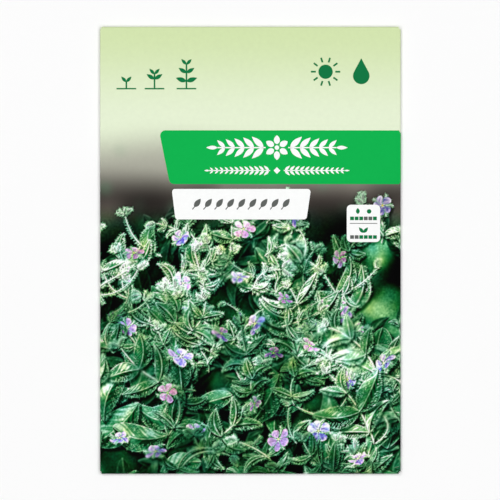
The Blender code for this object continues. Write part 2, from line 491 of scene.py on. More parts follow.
def bud(canvas, place, angle, length, tone):
    width, bend = length * DRAW.uniform(0.36, 0.5), length * DRAW.uniform(-0.15, 0.15)
    strip = Strip(place, angle, length, width, bend, BUD_OUTLINE)
    facing = sin(LIGHT - angle)

    def paint(a, s, half):
        lit = np.clip(0.5 + 0.45 * facing * s + 0.3 * np.cos(5 * pi * s), 0, 1)
        body = mix(mix(DEEP_GREEN, SAGE, lit), tone, smoothstep(0.55, 1.0, a))
        return mix(body, DOWN, np.clip(1.3 * lit - 0.62, 0, 0.92))

    canvas.shade(strip, 0.3, 0.4, 1.0, 1.1, 0.55, 0.35)
    canvas.fill(strip, paint)
    fringe(canvas, strip, int(length / 0.04), HAIR_REACH, 0.36)


def tuft(canvas, stalk, count, spread, sizes, tone):
    """Buds at a stem's tip."""
    for _ in range(count):
        way = stalk.heading(1) + DRAW.uniform(-spread, spread)
        bud(canvas, stalk.at(1), way, DRAW.uniform(*sizes), tone)


def sprig(canvas, place, angle, length, leaf_size):
    """A curved stem with pairs of slender leaves that shrink to a tuft of buds at its tip."""
    bend = length * DRAW.uniform(-0.3, 0.3)
    pairs = DRAW.randint(1, 3)
    dark = mix(DEEP_GREEN, NIGHT, DRAW.random() * 0.6)
    light = mix(mix(LEAF_GREEN, SAGE, DRAW.random()), FRESH_GREEN, DRAW.random() ** 2)
    light = mix(light, YELLOW_GREEN, 0.5 * DRAW.random() ** 4)
    thick = DRAW.uniform(0.35, 0.6) + 0.02 * length
    stalk = Strip(place, angle, length, thick, bend, stem_outline)
    stem(canvas, stalk, DRAW.random())
    turned, slender = DRAW.uniform(0.3, 1.0), DRAW.uniform(0.9, 1.35)
    for i in range(pairs):
        a = 0.15 + 0.8 * i / pairs
        size = leaf_size * (1 - 0.45 * a) * DRAW.uniform(0.8, 1.2)
        width = size * slender * (0.2 + 0.22 * (turned if i % 2 else 1.3 - turned))
        for side in (-1, 1):
            way = stalk.heading(a) + side * (1.3 - 0.7 * a) * DRAW.uniform(0.7, 1.3)
            down = DRAW.uniform(0.2, 0.75)
            leaf(canvas, stalk.at(a), way, size, width, dark, light, down, 0.3)
    tone = mix(VIOLET, PINK, DRAW.random()) if DRAW.random() < 0.25 else PALE_SAGE
    tuft(canvas, stalk, DRAW.randint(3, 6), 1.2, (1.8, 3.4), tone)


def bare_shoot(canvas, place, angle):
    """A bowed stem without leaves, with a few upright buds at its tip."""
    length = DRAW.uniform(8, 17)
    bend = length * DRAW.uniform(0.12, 0.4) * DRAW.choice((-1, 1))
    blush = DRAW.random()
    stalk = Strip(place, angle, length, DRAW.uniform(0.5, 1.0), bend, stem_outline)
    stem(canvas, stalk, blush)
    tuft(canvas, stalk, DRAW.randint(2, 4), 0.9, (2.0, 3.6), mix(PALE_SAGE, BLUSH, blush))


def petal(canvas, place, angle, size, shown, deep, light):
    """A petal with darker veins and a pale foot, as far as its flower's tilt shows it."""
    length = size * 0.5 * shown(angle) * DRAW.uniform(0.88, 1.06)
    facing, curl = cos(LIGHT - angle), DRAW.uniform(-0.3, 0.3)
    bend = DRAW.uniform(-0.08, 0.08) * size
    width = size * DRAW.uniform(0.3, 0.42) * shown(angle + pi / 2)
    strip = Strip(place, angle, length, width, bend, PETAL_OUTLINE)

    def paint(a, s, half):
        veins = smoothstep(0.35, 1.0, np.cos(11 * s)) * smoothstep(0.1, 0.4, a) * (1 - a)
        tip = 0.5 * smoothstep(0.55, 1.0, a)
        ripple = 0.18 * np.sin(9 * a + 5 * s + 9 * curl)
        lit = 0.34 + 0.34 * facing + tip + 1.4 * curl * s + ripple - 0.15 * np.abs(s)
        edge = 0.5 * smoothstep(half - RIM_REACH, half, np.abs(s) * half) * (a < 0.8)
        face = mix(mix(deep, light, np.clip(lit, 0, 1)), deep * 0.45, 0.6 * veins)
        return mix(mix(face, EYE, 0.8 * (1 - smoothstep(0.1, 0.26, a))), deep * 0.35, edge)

    canvas.fill(strip, paint)
    fringe(canvas, strip, 30, 0.4, 0.22)


def flower(canvas, place, size, turn):
    """Five round petals, tilted away, over green sepals."""
    tilt = DRAW.uniform(0.35, 1.0)
    lean = DRAW.uniform(0, pi)
    hue = DRAW.random()
    deep = mix(mix(VIOLET, BLUE, min(1.0, hue * 1.5)), PINK, max(0.0, hue * 2.2 - 1.2))
    light = mix(mix(LILAC, DOWN, DRAW.uniform(0.0, 0.7)), PINK, 0.5 * DRAW.random())
    canvas.spot(place[0] + size * 0.03 + 0.5, place[1] - 0.8, size * 0.9, size * 0.8, NIGHT, 0.65, 1.0)

    def shown(angle):
        return 1 - (1 - tilt) * sin(angle - lean) ** 2

    between = [turn + (i + 0.5) * tau / 5 for i in range(5)]
    for angle in between:
        length = size * 0.56 * shown(angle)
        leaf(canvas, place, angle, length, size * 0.14, DEEP_GREEN, SAGE, 0.6, 0.3, 0)
    for i in DRAW.sample(range(5), 5):
        angle = turn + i * tau / 5 + DRAW.uniform(-0.12, 0.12)
        petal(canvas, place, angle, size, shown, deep, light)
    for angle in between:
        stamen = Strip(place, angle, size * 0.13, size * 0.04, 0.0, BUD_OUTLINE)
        canvas.fill(stamen, STAMEN, 0.85)
    canvas.spot(*place, size * 0.08, size * 0.08, POLLEN)


def scatter(count, low, high, apart, keep=lambda x, y: True, tries=6000):
    """Places in a rectangle, no two nearer than apart."""
    found = []
    for _ in range(tries):
        if len(found) == count:
            break
        x, y = DRAW.uniform(low[0], high[0]), DRAW.uniform(low[1], high[1])
        if keep(x, y) and all(hypot(x - a, y - b) > apart for a, b in found):
            found.append((x, y))
    return found


def bush_top(x):
    """The height that the printed plants reach."""
    return 15 - 12 * ((x - 6) / 46) ** 2 + 2 * sin(x / 5)


def lush(x, y):
    """Whether plants grow there, and not a dark gap or a clearing with a view of far leaves."""
    clearing = hypot(x - 34, (y + 10) / 1.2) < 9
    return not clearing and sin(x / 8.5 + 2.2) * sin(y / 7.5 + 0.9) > -0.5


def strew(canvas, places, sizes, widths, dark, tones, down, hairs, shadow, power=1):
    """Leaves turned any way, each of a size, share of width and tone between two of them."""
    for place in places:
        size = DRAW.uniform(*sizes)
        light = mix(*tones, DRAW.random() ** power)
        width, angle = size * DRAW.uniform(*widths), DRAW.uniform(0, tau)
        leaf(canvas, place, angle, size, width, dark, light, down, hairs, shadow)


def paint_background(canvas):
    """A pale header over haze and dark ground, with round lights out of focus between."""
    header = mix(HEADER_FOOT, HEADER_TOP, smoothstep(34, 59, canvas.y))
    haze = mix(HAZE, header, smoothstep(21, 33, canvas.y + 2 * np.sin(canvas.x / 14)))
    brown = mix(BROWN, haze, smoothstep(13, 24, canvas.y))
    canvas.ink[:] = mix(DARK_BROWN, brown, smoothstep(0, 12, canvas.y))
    for place in scatter(26, (-39, 5), (39, 27), 4):
        size = 2 * DRAW.uniform(0.6, 2.0)
        tone = mix(PALE_SAGE, SAGE, DRAW.random())
        canvas.spot(*place, size, size, tone, DRAW.uniform(0.1, 0.45), 0.5)


def paint_far_leaves(canvas, rng):
    """Leaves behind the plants, the farthest well out of focus, in patchy gloom."""
    low, high, widths = (-42, -62), (42, 12), (0.35, 0.5)
    places = scatter(90, low, high, 4.5, lambda x, y: y < bush_top(x) - 10)
    strew(canvas, places, (10, 20), widths, NIGHT, (DEEP_GREEN, FRESH_GREEN), 0.1, 0, 0.5, 1.5)
    canvas.exposure = 2.2
    for place in scatter(9, (18, -24), (42, -2), 6):
        size = DRAW.uniform(11, 16)
        light = mix(FRESH_GREEN, YELLOW_GREEN, DRAW.random())
        angle = DRAW.uniform(0, tau)
        leaf(canvas, place, angle, size, size * 0.6, LEAF_GREEN, light, 0.2, 0, 0.3)
    canvas.exposure = 1.0
    canvas.blur(0.9)
    places = scatter(130, low, high, 4.2, lambda x, y: y < bush_top(x) - 4 and lush(x, y))
    dark = mix(NIGHT, DEEP_GREEN, 0.35)
    strew(canvas, places, (7, 14), widths, dark, (LEAF_GREEN, SAGE), 0.3, 0, 0.55)
    canvas.blur(0.14)
    gloom = np.clip(np.exp(0.7 * canvas.noise(12, rng) - 0.9), 0.04, 0.9)
    canvas.ink *= (1 - smoothstep(24, 12, canvas.y) * (1 - gloom))[..., None]


def paint_plants(canvas):
    """Broad leaves low down, then sprigs, shoots and flowers, roughly from the top down."""
    for place in scatter(40, (-42, -60), (42, -20), 7):
        canvas.exposure = DRAW.uniform(0.5, 1.0)
        tones = (SAGE, FRESH_GREEN)
        strew(canvas, [place], (9, 17), (0.42, 0.58), DEEP_GREEN, tones, 0.25, 0.16, 0.8)
    starts = scatter(105, (-43, -64), (43, 9), 5.2,
                     lambda x, y: y < bush_top(x) - 7 and lush(x, y), 9000)
    blooms = scatter(26, (-38, -56), (38, 13), 9, lambda x, y: y < bush_top(x) + 1)
    plants = [(place, False) for place in starts] + [(place, True) for place in blooms]
    plants.sort(key=lambda plant: -plant[0][1] + DRAW.uniform(-9, 9) + 14 * plant[1])
    for place, blooming in plants:
        lit = float(smoothstep(-62, -20, place[1]))
        if blooming:
            canvas.exposure = DRAW.uniform(0.65, 1.0)
            flower(canvas, place, DRAW.uniform(4.8, 7.6), DRAW.uniform(0, tau))
            continue
        if DRAW.random() > 0.45 + 0.55 * lit:
            continue
        canvas.exposure = (0.55 + 0.65 * lit) * DRAW.uniform(0.4, 1.45)
        angle = pi / 2 + DRAW.uniform(-1.3, 1.3)
        if DRAW.random() < 0.4:
            bare_shoot(canvas, place, angle + DRAW.uniform(-0.8, 0.8))
        grown = 1.6 if DRAW.random() < 0.13 else 1.0
        length = grown * DRAW.uniform(7, 15)
        sprig(canvas, place, angle, length, grown * DRAW.uniform(4.0, 9.0))
    canvas.exposure = 1.0


def finish_picture(canvas, rng):
    """Patchy light, one scale of tones, uneven warmth and focus, and crisp edges."""
    depth = smoothstep(13, 5, canvas.y)
    patches, mottle = canvas.noise(9, rng), canvas.noise(0.5, rng)
    canvas.ink *= np.exp(depth * (0.34 * patches + 0.1 * mottle + 0.1))[..., None]
    canvas.grade(0.6 * depth)
    warmth = 0.09 * canvas.noise(3, rng) * depth
    canvas.ink *= np.stack((1 + warmth, 1 + 0.1 * warmth, 1 - warmth), axis=-1)
    canvas.blur(0.2, 0.85 * depth * smoothstep(0.5, 1.8, canvas.noise(8, rng)))
    canvas.sharpen(0.25)
    canvas.contrast(1.25, 0.42, depth)


def painted_front():
    canvas = Canvas(WIDTH, HEIGHT, PAINT_PIXEL)
    rng = np.random.default_rng(5)
    paint_background(canvas)
    paint_far_leaves(canvas, rng)
    paint_plants(canvas)
    finish_picture(canvas, rng)
    return canvas


# Materials


def wire(tree, node, inputs):
    """Gives a node's inputs plain values, or links from other nodes."""
    for name, value in inputs.items():
        if isinstance(value, bpy.types.NodeSocket):
            tree.links.new(value, node.inputs[name])
        else:
            node.inputs[name].default_value = value


def add_node(tree, kind, inputs, output, **settings):
    """Adds a node and returns one of its outputs."""
    node = tree.nodes.new(kind)
    for name, value in settings.items():
        setattr(node, name, value)
    wire(tree, node, inputs)
    return node.outputs[output]


def add_noise(tree, scale, detail, stretch=(1, 1, 1)):
    """Noise over the object's own coordinates."""
    place = add_node(tree, "ShaderNodeTexCoord", {}, "Object")
    turn = add_node(tree, "ShaderNodeMapping", {"Vector": place, "Scale": stretch}, "Vector")
    inputs = {"Vector": turn, "Scale": scale, "Detail": detail}
    return add_node(tree, "ShaderNodeTexNoise", inputs, "Fac")


def add_range(tree, value, low, high):
    inputs = {"Value": value, "To Min": low, "To Max": high}
    return add_node(tree, "ShaderNodeMapRange", inputs, "Result")


def add_bump(tree, height, strength, distance):
    inputs = {"Height": height, "Strength": strength, "Distance": distance * MM}
    return add_node(tree, "ShaderNodeBump", inputs, "Normal")


def add_tint(tree, colour, share):
    """A colour made darker or lighter."""
    inputs = {"Vector": colour, "Scale": share}
    return add_node(tree, "ShaderNodeVectorMath", inputs, "Vector", operation="SCALE")


def material(name, look, *values):
    """A material. look(tree, *values) gives the inputs of its shader."""
    made = bpy.data.materials.new(name)
    made.use_nodes = True
    tree = made.node_tree
    wire(tree, tree.nodes["Principled BSDF"], look(tree, *values))
    return made


def printed(tree, colour=None):
    """Ink on coated paper: a flat colour, or the painted one, with a faint mottle and fibre."""
    if colour is None:
        colour = add_node(tree, "ShaderNodeAttribute", {}, "Color", attribute_name="ink")
    return {
        "Base Color": add_tint(tree, colour, add_range(tree, add_noise(tree, 900, 3), 0.965, 1.035)),
        "Roughness": add_range(tree, add_noise(tree, 260, 2), 0.45, 0.55),
        "Specular IOR Level": 0.03,
        "Normal": add_bump(tree, add_noise(tree, 1500, 4, (1, 1.8, 1)), 0.12, 0.02),
    }


def bare_paper(tree, colour, roughness):
    """Paper with no ink: matt, with its fibres showing."""
    fibres = add_noise(tree, 1200, 5, (1, 2.5, 1))
    return {
        "Base Color": add_tint(tree, colour, add_range(tree, fibres, 0.94, 1.04)),
        "Roughness": roughness,
        "Specular IOR Level": 0.3,
        "Normal": add_bump(tree, fibres, 0.3, 0.03),
    }


def seed_coat(tree):
    """A nutlet's dark brown coat, pitted, with paler wear."""
    grain = add_noise(tree, 900, 6)
    brown = add_node(tree, "ShaderNodeValToRGB", {"Fac": grain}, "Color")
    dark, pale = brown.node.color_ramp.elements
    dark.position, dark.color = 0.3, (0.012, 0.008, 0.006, 1)
    pale.position, pale.color = 0.72, (0.075, 0.05, 0.034, 1)
    return {
        "Base Color": brown,
        "Roughness": add_range(tree, grain, 0.55, 0.85),
        "Specular IOR Level": 0.3,
        "Normal": add_bump(tree, add_noise(tree, 1800, 4), 0.5, 0.08),
    }


def floor_finish(tree):
    mottle = add_range(tree, add_noise(tree, 12, 3), 0.955, 0.965)
    return {"Base Color": mottle, "Roughness": 0.9, "Specular IOR Level": 0.0}


# Meshes


def add_object(name, data, place=(0, 0, 0)):
    made = bpy.data.objects.new(name, data)
    made.location = place
    bpy.context.scene.collection.objects.link(made)
    return made


def add_piece(name, mesh, *surfaces):
    mesh.transform(Matrix.Scale(MM, 4))
    for surface in surfaces:
        mesh.materials.append(surface)
    piece = add_object(name, mesh)
    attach(piece, "root")
    return piece


def add_solid(name, places, cells, surface):
    """A smooth piece with crisp edges, from its corner places and faces."""
    mesh = bpy.data.meshes.new(name)
    mesh.from_pydata(places, [], cells)
    mesh.shade_smooth()
    mesh.set_sharp_from_angle(angle=radians(40))
    return add_piece(name, mesh, surface)


def set_ink(mesh, colours):
    layer = mesh.color_attributes.new(name="ink", type="FLOAT_COLOR", domain="POINT")
    rows = np.ones((len(mesh.vertices), 4), np.float32)
    rows[:, :3] = colours
    layer.data.foreach_set("color", rows.ravel())


def stations(low, high):
    """Places along the front panel: both folds, the corner reliefs, and even steps between."""
    first, last = low + CORNER_RELIEF, high - CORNER_RELIEF
    steps = round((last - first) / SHEET_STEP)
    return [low, *np.linspace(first, last, steps + 1), high]


def front_panel(bm):
    """The front panel, and the corners along its left, right, foot and top."""
    xs, ys = stations(LEFT, RIGHT), stations(BOTTOM, TOP)
    heights = front_height(*np.meshgrid(xs, ys))
    rows = [[bm.verts.new((x, y, heights[j, i])) for i, x in enumerate(xs)] for j, y in enumerate(ys)]
    for vert in (rows[0][0], rows[0][-1], rows[-1][0], rows[-1][-1]):
        vert.co.x += copysign(CORNER_PINCH[0], vert.co.x)
        vert.co.y += copysign(CORNER_PINCH[1], vert.co.y)
        vert.co.z -= CORNER_PINCH[2]
    for low, high in zip(rows, rows[1:]):
        for i in range(len(xs) - 1):
            bm.faces.new((low[i], low[i + 1], high[i + 1], high[i]))
    return [row[0] for row in rows], [row[-1] for row in rows], rows[0], rows[-1]


def only(kind, parts):
    return [part for part in parts if isinstance(part, kind)]


def fold_under(bm, line, axis, value, layer_z, depth, mitre):
    """Folds the sheet under along a line of the front's corners, and adds a panel of that depth.

    The panel's first row is short, so the picture that covers the fold ends there.
    """
    other, outward = 1 - axis, copysign(1, value)
    radius = (RIM_Z - layer_z) / 2
    centre, hinge = Vector((0, 0, RIM_Z - radius)), Vector()
    centre[axis] = value
    hinge[other] = outward if axis == 0 else -outward
    edges = [bm.edges.get(pair) for pair in zip(line[1:-2], line[2:-1])]
    turned = bmesh.ops.spin(bm, geom=edges, cent=centre, axis=hinge, angle=pi, steps=FOLD_STEPS)
    last = only(bmesh.types.BMEdge, turned["geom_last"])
    for vert in {vert for edge in last for vert in edge.verts}:
        vert.co.z = layer_z
        vert.co[axis] = value
    ends = sorted(vert.co[other] for edge in last for vert in edge.verts)
    middle, half = (ends[0] + ends[-1]) / 2, (ends[-1] - ends[0]) / 2
    steps = max(2, round(depth / (5 * SHEET_STEP)))
    shares = [0.0, BLEED / depth] + [(i + 1) / steps for i in range(steps)]
    for share, following in zip(shares, shares[1:]):
        grown = bmesh.ops.extrude_edge_only(bm, edges=last)["geom"]
        last = only(bmesh.types.BMEdge, grown)
        narrower = (half - mitre * following) / (half - mitre * share)
        for vert in only(bmesh.types.BMVert, grown):
            vert.co[axis] -= outward * depth * (following - share)
            vert.co[other] = middle + (vert.co[other] - middle) * narrower


def sheet_ink(canvas, places):
    """The front's inks also cover the folds; behind, the back is pale and the flaps are green."""
    x, y, z = places.T
    near = 0.01
    colours = canvas.sample(x, y)
    inner = (x > LEFT + near) & (x < RIGHT - near) & (y > BOTTOM + near) & (y < TOP - near)
    behind = (z < RIM_Z - LAYER / 2) & inner
    flaps = behind & (z < FLAP_Z + LAYER / 2)
    colours[behind] = BACK_PALE
    colours[flaps & (y > 0)] = HEADER_TOP
    colours[flaps & (y < 0)] = BANNER_GREEN
    return colours


def ink_corners(mesh):
    """The short cut edges at the front's four corners take the print's colour."""
    for face in mesh.polygons:
        x, y = abs(face.center.x) / MM, abs(face.center.y) / MM
        if WIDTH / 2 - x < CORNER_REACH and HEIGHT / 2 - y < CORNER_REACH:
            face.material_index = 0


def build_sheet(canvas, *surfaces):
    """The folded sheet, with its surfaces outside, inside and at its cut edges."""
    bm = bmesh.new()
    left, right, foot, top = front_panel(bm)
    fold_under(bm, left, 0, LEFT, TAB_Z, TAB_WIDTH, TAB_MITRE)
    fold_under(bm, right, 0, RIGHT, BACK_Z, RIGHT - LEFT - BACK_EDGE_INSET, 0.0)
    fold_under(bm, foot, 1, BOTTOM, FLAP_Z, BOTTOM_FLAP, FLAP_MITRE)
    fold_under(bm, top, 1, TOP, FLAP_Z, TOP_FLAP, FLAP_MITRE)
    bmesh.ops.recalc_face_normals(bm, faces=bm.faces)
    mesh = bpy.data.meshes.new("paper_sheet")
    bm.to_mesh(mesh)
    bm.free()
    set_ink(mesh, sheet_ink(canvas, np.array([vert.co for vert in mesh.vertices])))
    piece = add_piece("paper_sheet", mesh, *surfaces)
    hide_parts("envelope")
    thickness = piece.modifiers.new("paper", "SOLIDIFY")
    thickness.thickness = PAPER * MM
    thickness.offset = 0.0
    thickness.use_even_offset = True
    thickness.material_offset = 1
    thickness.material_offset_rim = 2
    solid = bpy.data.meshes.new_from_object(piece.evaluated_get(bpy.context.evaluated_depsgraph_get()))
    piece.modifiers.clear()
    piece.data = solid
    ink_corners(solid)
    solid.shade_smooth()
    solid.set_sharp_from_angle(angle=radians(35))


def quads(index):
    """The cells of a grid of corner numbers, counterclockwise."""
    corners = (index[:-1, :-1], index[:-1, 1:], index[1:, 1:], index[1:, :-1])
    return np.stack(corners, axis=-1).reshape(-1, 4).tolist()


def borders(index):
    """The four border lines of a grid of corner numbers, counterclockwise."""
    return index[0], index[:, -1], index[-1, ::-1], index[::-1, 0]


def build_strip(name, canvas, surface, left, right):
    """A strip of the picture: a thin solid with a fine upper face and a coarse lower one."""
    coarse = PICTURE_COARSE
    across = round((right - left) / PICTURE_CELL / coarse) * coarse
    up = round((PICTURE_TOP - BOTTOM) / PICTURE_CELL / coarse) * coarse
    grid = np.meshgrid(np.linspace(left, right, across + 1), np.linspace(BOTTOM, PICTURE_TOP, up + 1))
    root = [line[::coarse, ::coarse] for line in grid]
    upper = np.stack((*grid, front_surface(*grid, PICTURE_LIFT)), axis=-1)
    lower = np.stack((*root, front_surface(*root, FILM_ROOT)), axis=-1)
    places = np.concatenate((upper.reshape(-1, 3), lower.reshape(-1, 3)))
    index = np.arange(upper[..., 0].size).reshape(upper.shape[:2])
    below = index.size + np.arange(lower[..., 0].size).reshape(lower.shape[:2])
    faces = quads(index)
    cells = faces + [cell[::-1] for cell in quads(below)]
    for line, foot in zip(borders(index), borders(below)):
        for i in range(len(foot) - 1):
            ring = [foot[i], foot[i + 1], *line[i * coarse : (i + 1) * coarse + 1][::-1]]
            cells.append([int(corner) for corner in ring])
    piece = add_solid(name, places, cells, surface)
    set_ink(piece.data, canvas.sample(places[:, 0], places[:, 1]))
    map_film(piece.data, places[:, :2], len(faces) * 4)


def map_film(mesh, places, upper_corners):
    """A flat map for a bake: the upper face fills it, and the rest lies in a corner."""
    corners = np.zeros(len(mesh.loops), int)
    mesh.loops.foreach_get("vertex_index", corners)
    low, high = places.min(axis=0), places.max(axis=0)
    spots = MAP_BORDER + (1 - 2 * MAP_BORDER) * (places[corners] - low) / (high - low)
    spots[upper_corners:] *= MAP_BORDER / 2
    mesh.uv_layers.new(name="OFBake").data.foreach_set("uv", spots.astype(np.float32).ravel())


def build_picture(canvas, surface):
    """The picture's film of ink, in upright strips."""
    edges = np.linspace(LEFT, RIGHT, PICTURE_STRIPS + 1)
    for i in range(PICTURE_STRIPS):
        build_strip(f"print_picture_{i + 1}", canvas, surface, edges[i], edges[i + 1])


# Flat shapes for the overprint, counterclockwise, with their places as complex numbers


def arc(centre, radius, start, end, steps):
    return [centre + rect(radius, start + (end - start) * i / steps) for i in range(steps + 1)]


def disc(centre, radius, steps=20):
    """A round outline, or with four steps a diamond."""
    return arc(centre, radius, 0, tau * (steps - 1) / steps, steps - 1)


def drop(centre, radius):
    """A round drop with a point straight above it."""
    lean = radians(28)
    tip = centre + 1j * radius / sin(lean)
    return arc(centre, radius, pi - lean, tau + lean, 18) + [tip]


def rectangle(left, right, foot, top):
    return [complex(left, foot), complex(right, foot), complex(right, top), complex(left, top)]


def rounded(corners, radii):
    """An outline with its corners rounded, except where the radius is 0."""
    made = []
    for i, radius in enumerate(radii):
        here, following = corners[i], corners[(i + 1) % len(corners)]
        back, ahead = phase(corners[i - 1] - here), phase(following - here)
        turn = (ahead - back - pi) % tau
        half = (pi - turn) / 2
        centre = here + rect(radius / sin(half), ahead + half)
        start = back + pi / 2
        made += arc(centre, radius, start, start + turn, 5) if radius else [here]
    return made


def blade(foot, angle, length, width, steps=7, sharp=1.0):
    """A leaf's outline, up its right side from its foot to its tip and down its left."""
    made = []
    for i in range(2 * steps):
        a = 1 - abs(1 - i / steps)
        half = width / 2 * sin(pi * a**0.85) ** sharp
        made.append(foot + rect(1, angle) * complex(length * a, half if i > steps else -half))
    return made


def bar(first, second, width):
    aside = 1j * (second - first) / abs(second - first) * width / 2
    return [first - aside, second - aside, second + aside, first + aside]


def level(middle, half, width):
    """A level line."""
    return bar(middle - half, middle + half, width)


def edges_of(ring):
    return zip(ring, ring[1:] + ring[:1])


def densified(outline):
    """An outline with points no farther apart than FILM_STEP."""
    made = []
    for first, second in edges_of(outline):
        count = max(1, ceil(abs(second - first) / FILM_STEP))
        made += [first + (second - first) * i / count for i in range(count)]
    return made


def filling(ring):
    """Points inside a ring, clear of it, on a grid and on the steps of the right fold."""
    xs, ys = np.real(ring), np.imag(ring)
    columns = list(np.arange(xs.min() + FILM_STEP / 2, min(xs.max(), RIGHT), FILM_STEP))
    if xs.max() > RIGHT:
        columns += list(RIGHT + np.linspace(0, RIGHT_FOLD, FOLD_STEPS + 1))
    x, y = np.meshgrid(columns, np.arange(ys.min() + FILM_STEP / 2, ys.max(), FILM_STEP))
    within, clear = np.zeros(x.shape, bool), np.ones(x.shape, bool)
    for first, second in edges_of(ring):
        along = (x + 1j * y - first) / (second - first)
        away = np.abs(along.imag) * abs(second - first)
        clear &= (away > FILM_CLEAR) | (along.real < 0) | (along.real > 1)
        crossed = (first.imag > y) != (second.imag > y)
        within ^= crossed & ((along.imag > 0) == (second.imag > first.imag))
    return (x + 1j * y)[within & clear].tolist()


def film(name, outlines, surface, lift, face=outer_face):
    """Ink with a crisp edge: each outline as a thin solid that follows the paper."""
    places, cells = [], []
    for outline in outlines:
        ring = densified(outline)
        flat = [Vector((place.real, place.imag)) for place in ring + filling(ring)]
        made = delaunay_2d_cdt(flat, [], [list(range(len(ring)))], 1, FILM_MERGE)
        points, triangles = np.array(made[0]), made[2]
        sides = {(t[i], t[(i + 1) % 3]) for t in triangles for i in range(3)}
        start, under = len(places), len(places) + len(points)
        places += face(*points.T, lift).tolist() + face(*points.T, FILM_ROOT).tolist()
        cells += [[start + i for i in t] for t in triangles]
        cells += [[under + i for i in t[::-1]] for t in triangles]
        rim = sorted((a, b) for a, b in sides if (b, a) not in sides)
        cells += [[start + a, under + a, under + b, start + b] for a, b in rim]
    add_solid(name, places, cells, surface)


# Places of the panels, from the middle of the packet
BANNER_TOP, BANNER_FOOT = 31.9, 17.6
BANNER_LEFT_TOP, BANNER_LEFT_FOOT = -24.3, -21.4
BANNER_RIGHT = RIGHT + RIGHT_FOLD + 1.0
BANNER_CORNER = 1.4
BANNER_MIDDLE = (BANNER_LEFT_TOP + RIGHT) / 2 - 0.6
LABEL = (-19.9 + 8.2j, 14.9 + 8.2j, 16.1 + 16.3j, -20.9 + 16.3j)
LABEL_CORNER = 0.8
BOX_LEFT, BOX_RIGHT, BOX_TOP, BOX_FOOT = 25.6, 34.5, 12.1, 2.2
BOX_CORNER = 1.1
BOX_INSET = 0.8
BOX_CELLS, BOX_CELL_HEIGHT, BOX_CELL_GAP = 6, 0.95, 0.2
GROUND_WIDTH = 0.35

# Places on the back, as a viewer behind it sees them
BACK_BAND = (-39.2, 38.8, 29.0, 36.5)
BACK_PANEL, BACK_PANEL_CORNER = (-34.0, 34.0, 3.5, 25.5), 1.5
BACK_NOTE, BACK_NOTE_CORNER = (9.0, 34.0, -42.0, -34.0), 0.6
BACK_DISCS = (-24 - 24j, 0 - 24j, 24 - 24j)
BACK_DISC_RADIUS = 7.0
CALENDAR_LEFT, CALENDAR_TOP = -33.0, -2.0
CALENDAR_CELL, CALENDAR_ROW, CALENDAR_GAP = 5.5, 3.6, 0.45
BACK_LINE_Y, BACK_LINE_WIDTH = -12.5, 0.25


def garland(centre, inner, outer, pairs, leaf_length, stem_width):
    """A stem on each side of a middle, with pairs of leaves that point outward and shrink."""
    shapes = []
    for side, way in ((-1, pi), (1, 0)):
        first, last = centre + side * inner, centre + side * outer
        shapes.append(bar(first, last, stem_width))
        for i in range(pairs):
            foot = first + (last - first) * (i + 0.2) / pairs
            size = leaf_length * (1 - 0.4 * i / pairs)
            shapes += [blade(foot, way + turn, size, size * 0.36) for turn in (-0.75, 0.75)]
        shapes.append(blade(last, way, leaf_length * 0.7, leaf_length * 0.24))
    return shapes


def sun_shapes(centre, radius):
    """A disc with ten rays round it."""
    shapes = [disc(centre, radius, 28)]
    for i in range(10):
        way = rect(radius, i * tau / 10)
        shapes.append(bar(centre + 1.37 * way, centre + 2.05 * way, radius * 0.24))
    return shapes


def seedling(foot, tall, pairs, leaf_length):
    """A young plant on its stem, with pairs of leaves from its top down."""
    shapes = [bar(foot, foot + 0.8j * tall, 0.4)]
    for pair in range(pairs):
        node = foot + 1j * tall * (0.8 - 0.28 * pair)
        size, lean = leaf_length * (1 + 0.25 * pair), 0.75 + 0.25 * pair
        shapes += [blade(node, pi / 2 + turn, size, size * 0.42) for turn in (lean, -lean)]
    return shapes


def calendar_row(left, foot, cell, height, gap, count, filled):
    """A row of cells, as a list of the filled ones and a list of the empty ones."""
    full, empty = [], []
    for i in range(count):
        start = left + i * cell + gap / 2
        shape = rectangle(start, start + cell - gap, foot, foot + height)
        (full if i in filled else empty).append(shape)
    return full, empty


def build_panels(white, green):
    banner = [complex(BANNER_RIGHT, BANNER_FOOT), complex(BANNER_RIGHT, BANNER_TOP),
              complex(BANNER_LEFT_TOP, BANNER_TOP), complex(BANNER_LEFT_FOOT, BANNER_FOOT)]
    box = rectangle(BOX_LEFT, BOX_RIGHT, BOX_FOOT, BOX_TOP)
    film("print_banner", [rounded(banner, (0, 0, BANNER_CORNER, BANNER_CORNER))], green, PANEL_LIFT)
    film("print_label", [rounded(LABEL, [LABEL_CORNER] * 4)], white, PANEL_LIFT)
    film("print_box", [rounded(box, [BOX_CORNER] * 4)], white, PANEL_LIFT)


def build_banner_ornament(white):
    """A garland round a small rosette, over a finer one round a diamond."""
    large, small = (complex(BANNER_MIDDLE, y) for y in (BANNER_TOP - 4.6, BANNER_FOOT + 3.6))
    shapes = garland(large, 3.0, 15.8, 5, 4.3, 0.32)
    for i in range(6):
        angle = pi / 2 + i * tau / 6
        shapes.append(blade(large + rect(0.9, angle), angle, 2.4, 1.6, 8, 0.7))
    shapes.append(disc(large, 0.6))
    shapes += garland(small, 1.8, 18.0, 12, 1.9, 0.25)
    shapes.append(disc(small, 0.9, 4))
    film("print_banner_ornament", shapes, white, ORNAMENT_LIFT)


def build_label_ornament(grey):
    """A row of nine plain slanted leaves on their stalks."""
    middle = complex((LABEL[0] + LABEL[1]).real, (LABEL[0] + LABEL[2]).imag) / 2
    slant = radians(52)
    shapes = []
    for i in range(-4, 5):
        start = middle + 2.95 * i - 1.1 - 1.4j
        neck = start + rect(0.8, slant)
        shapes.append(blade(neck, slant, 2.8, 1.4, 8, 0.85))
        shapes.append(bar(start, neck + 0.1 + 0.1j, 0.26))
    film("print_label_ornament", shapes, grey, ORNAMENT_LIFT)


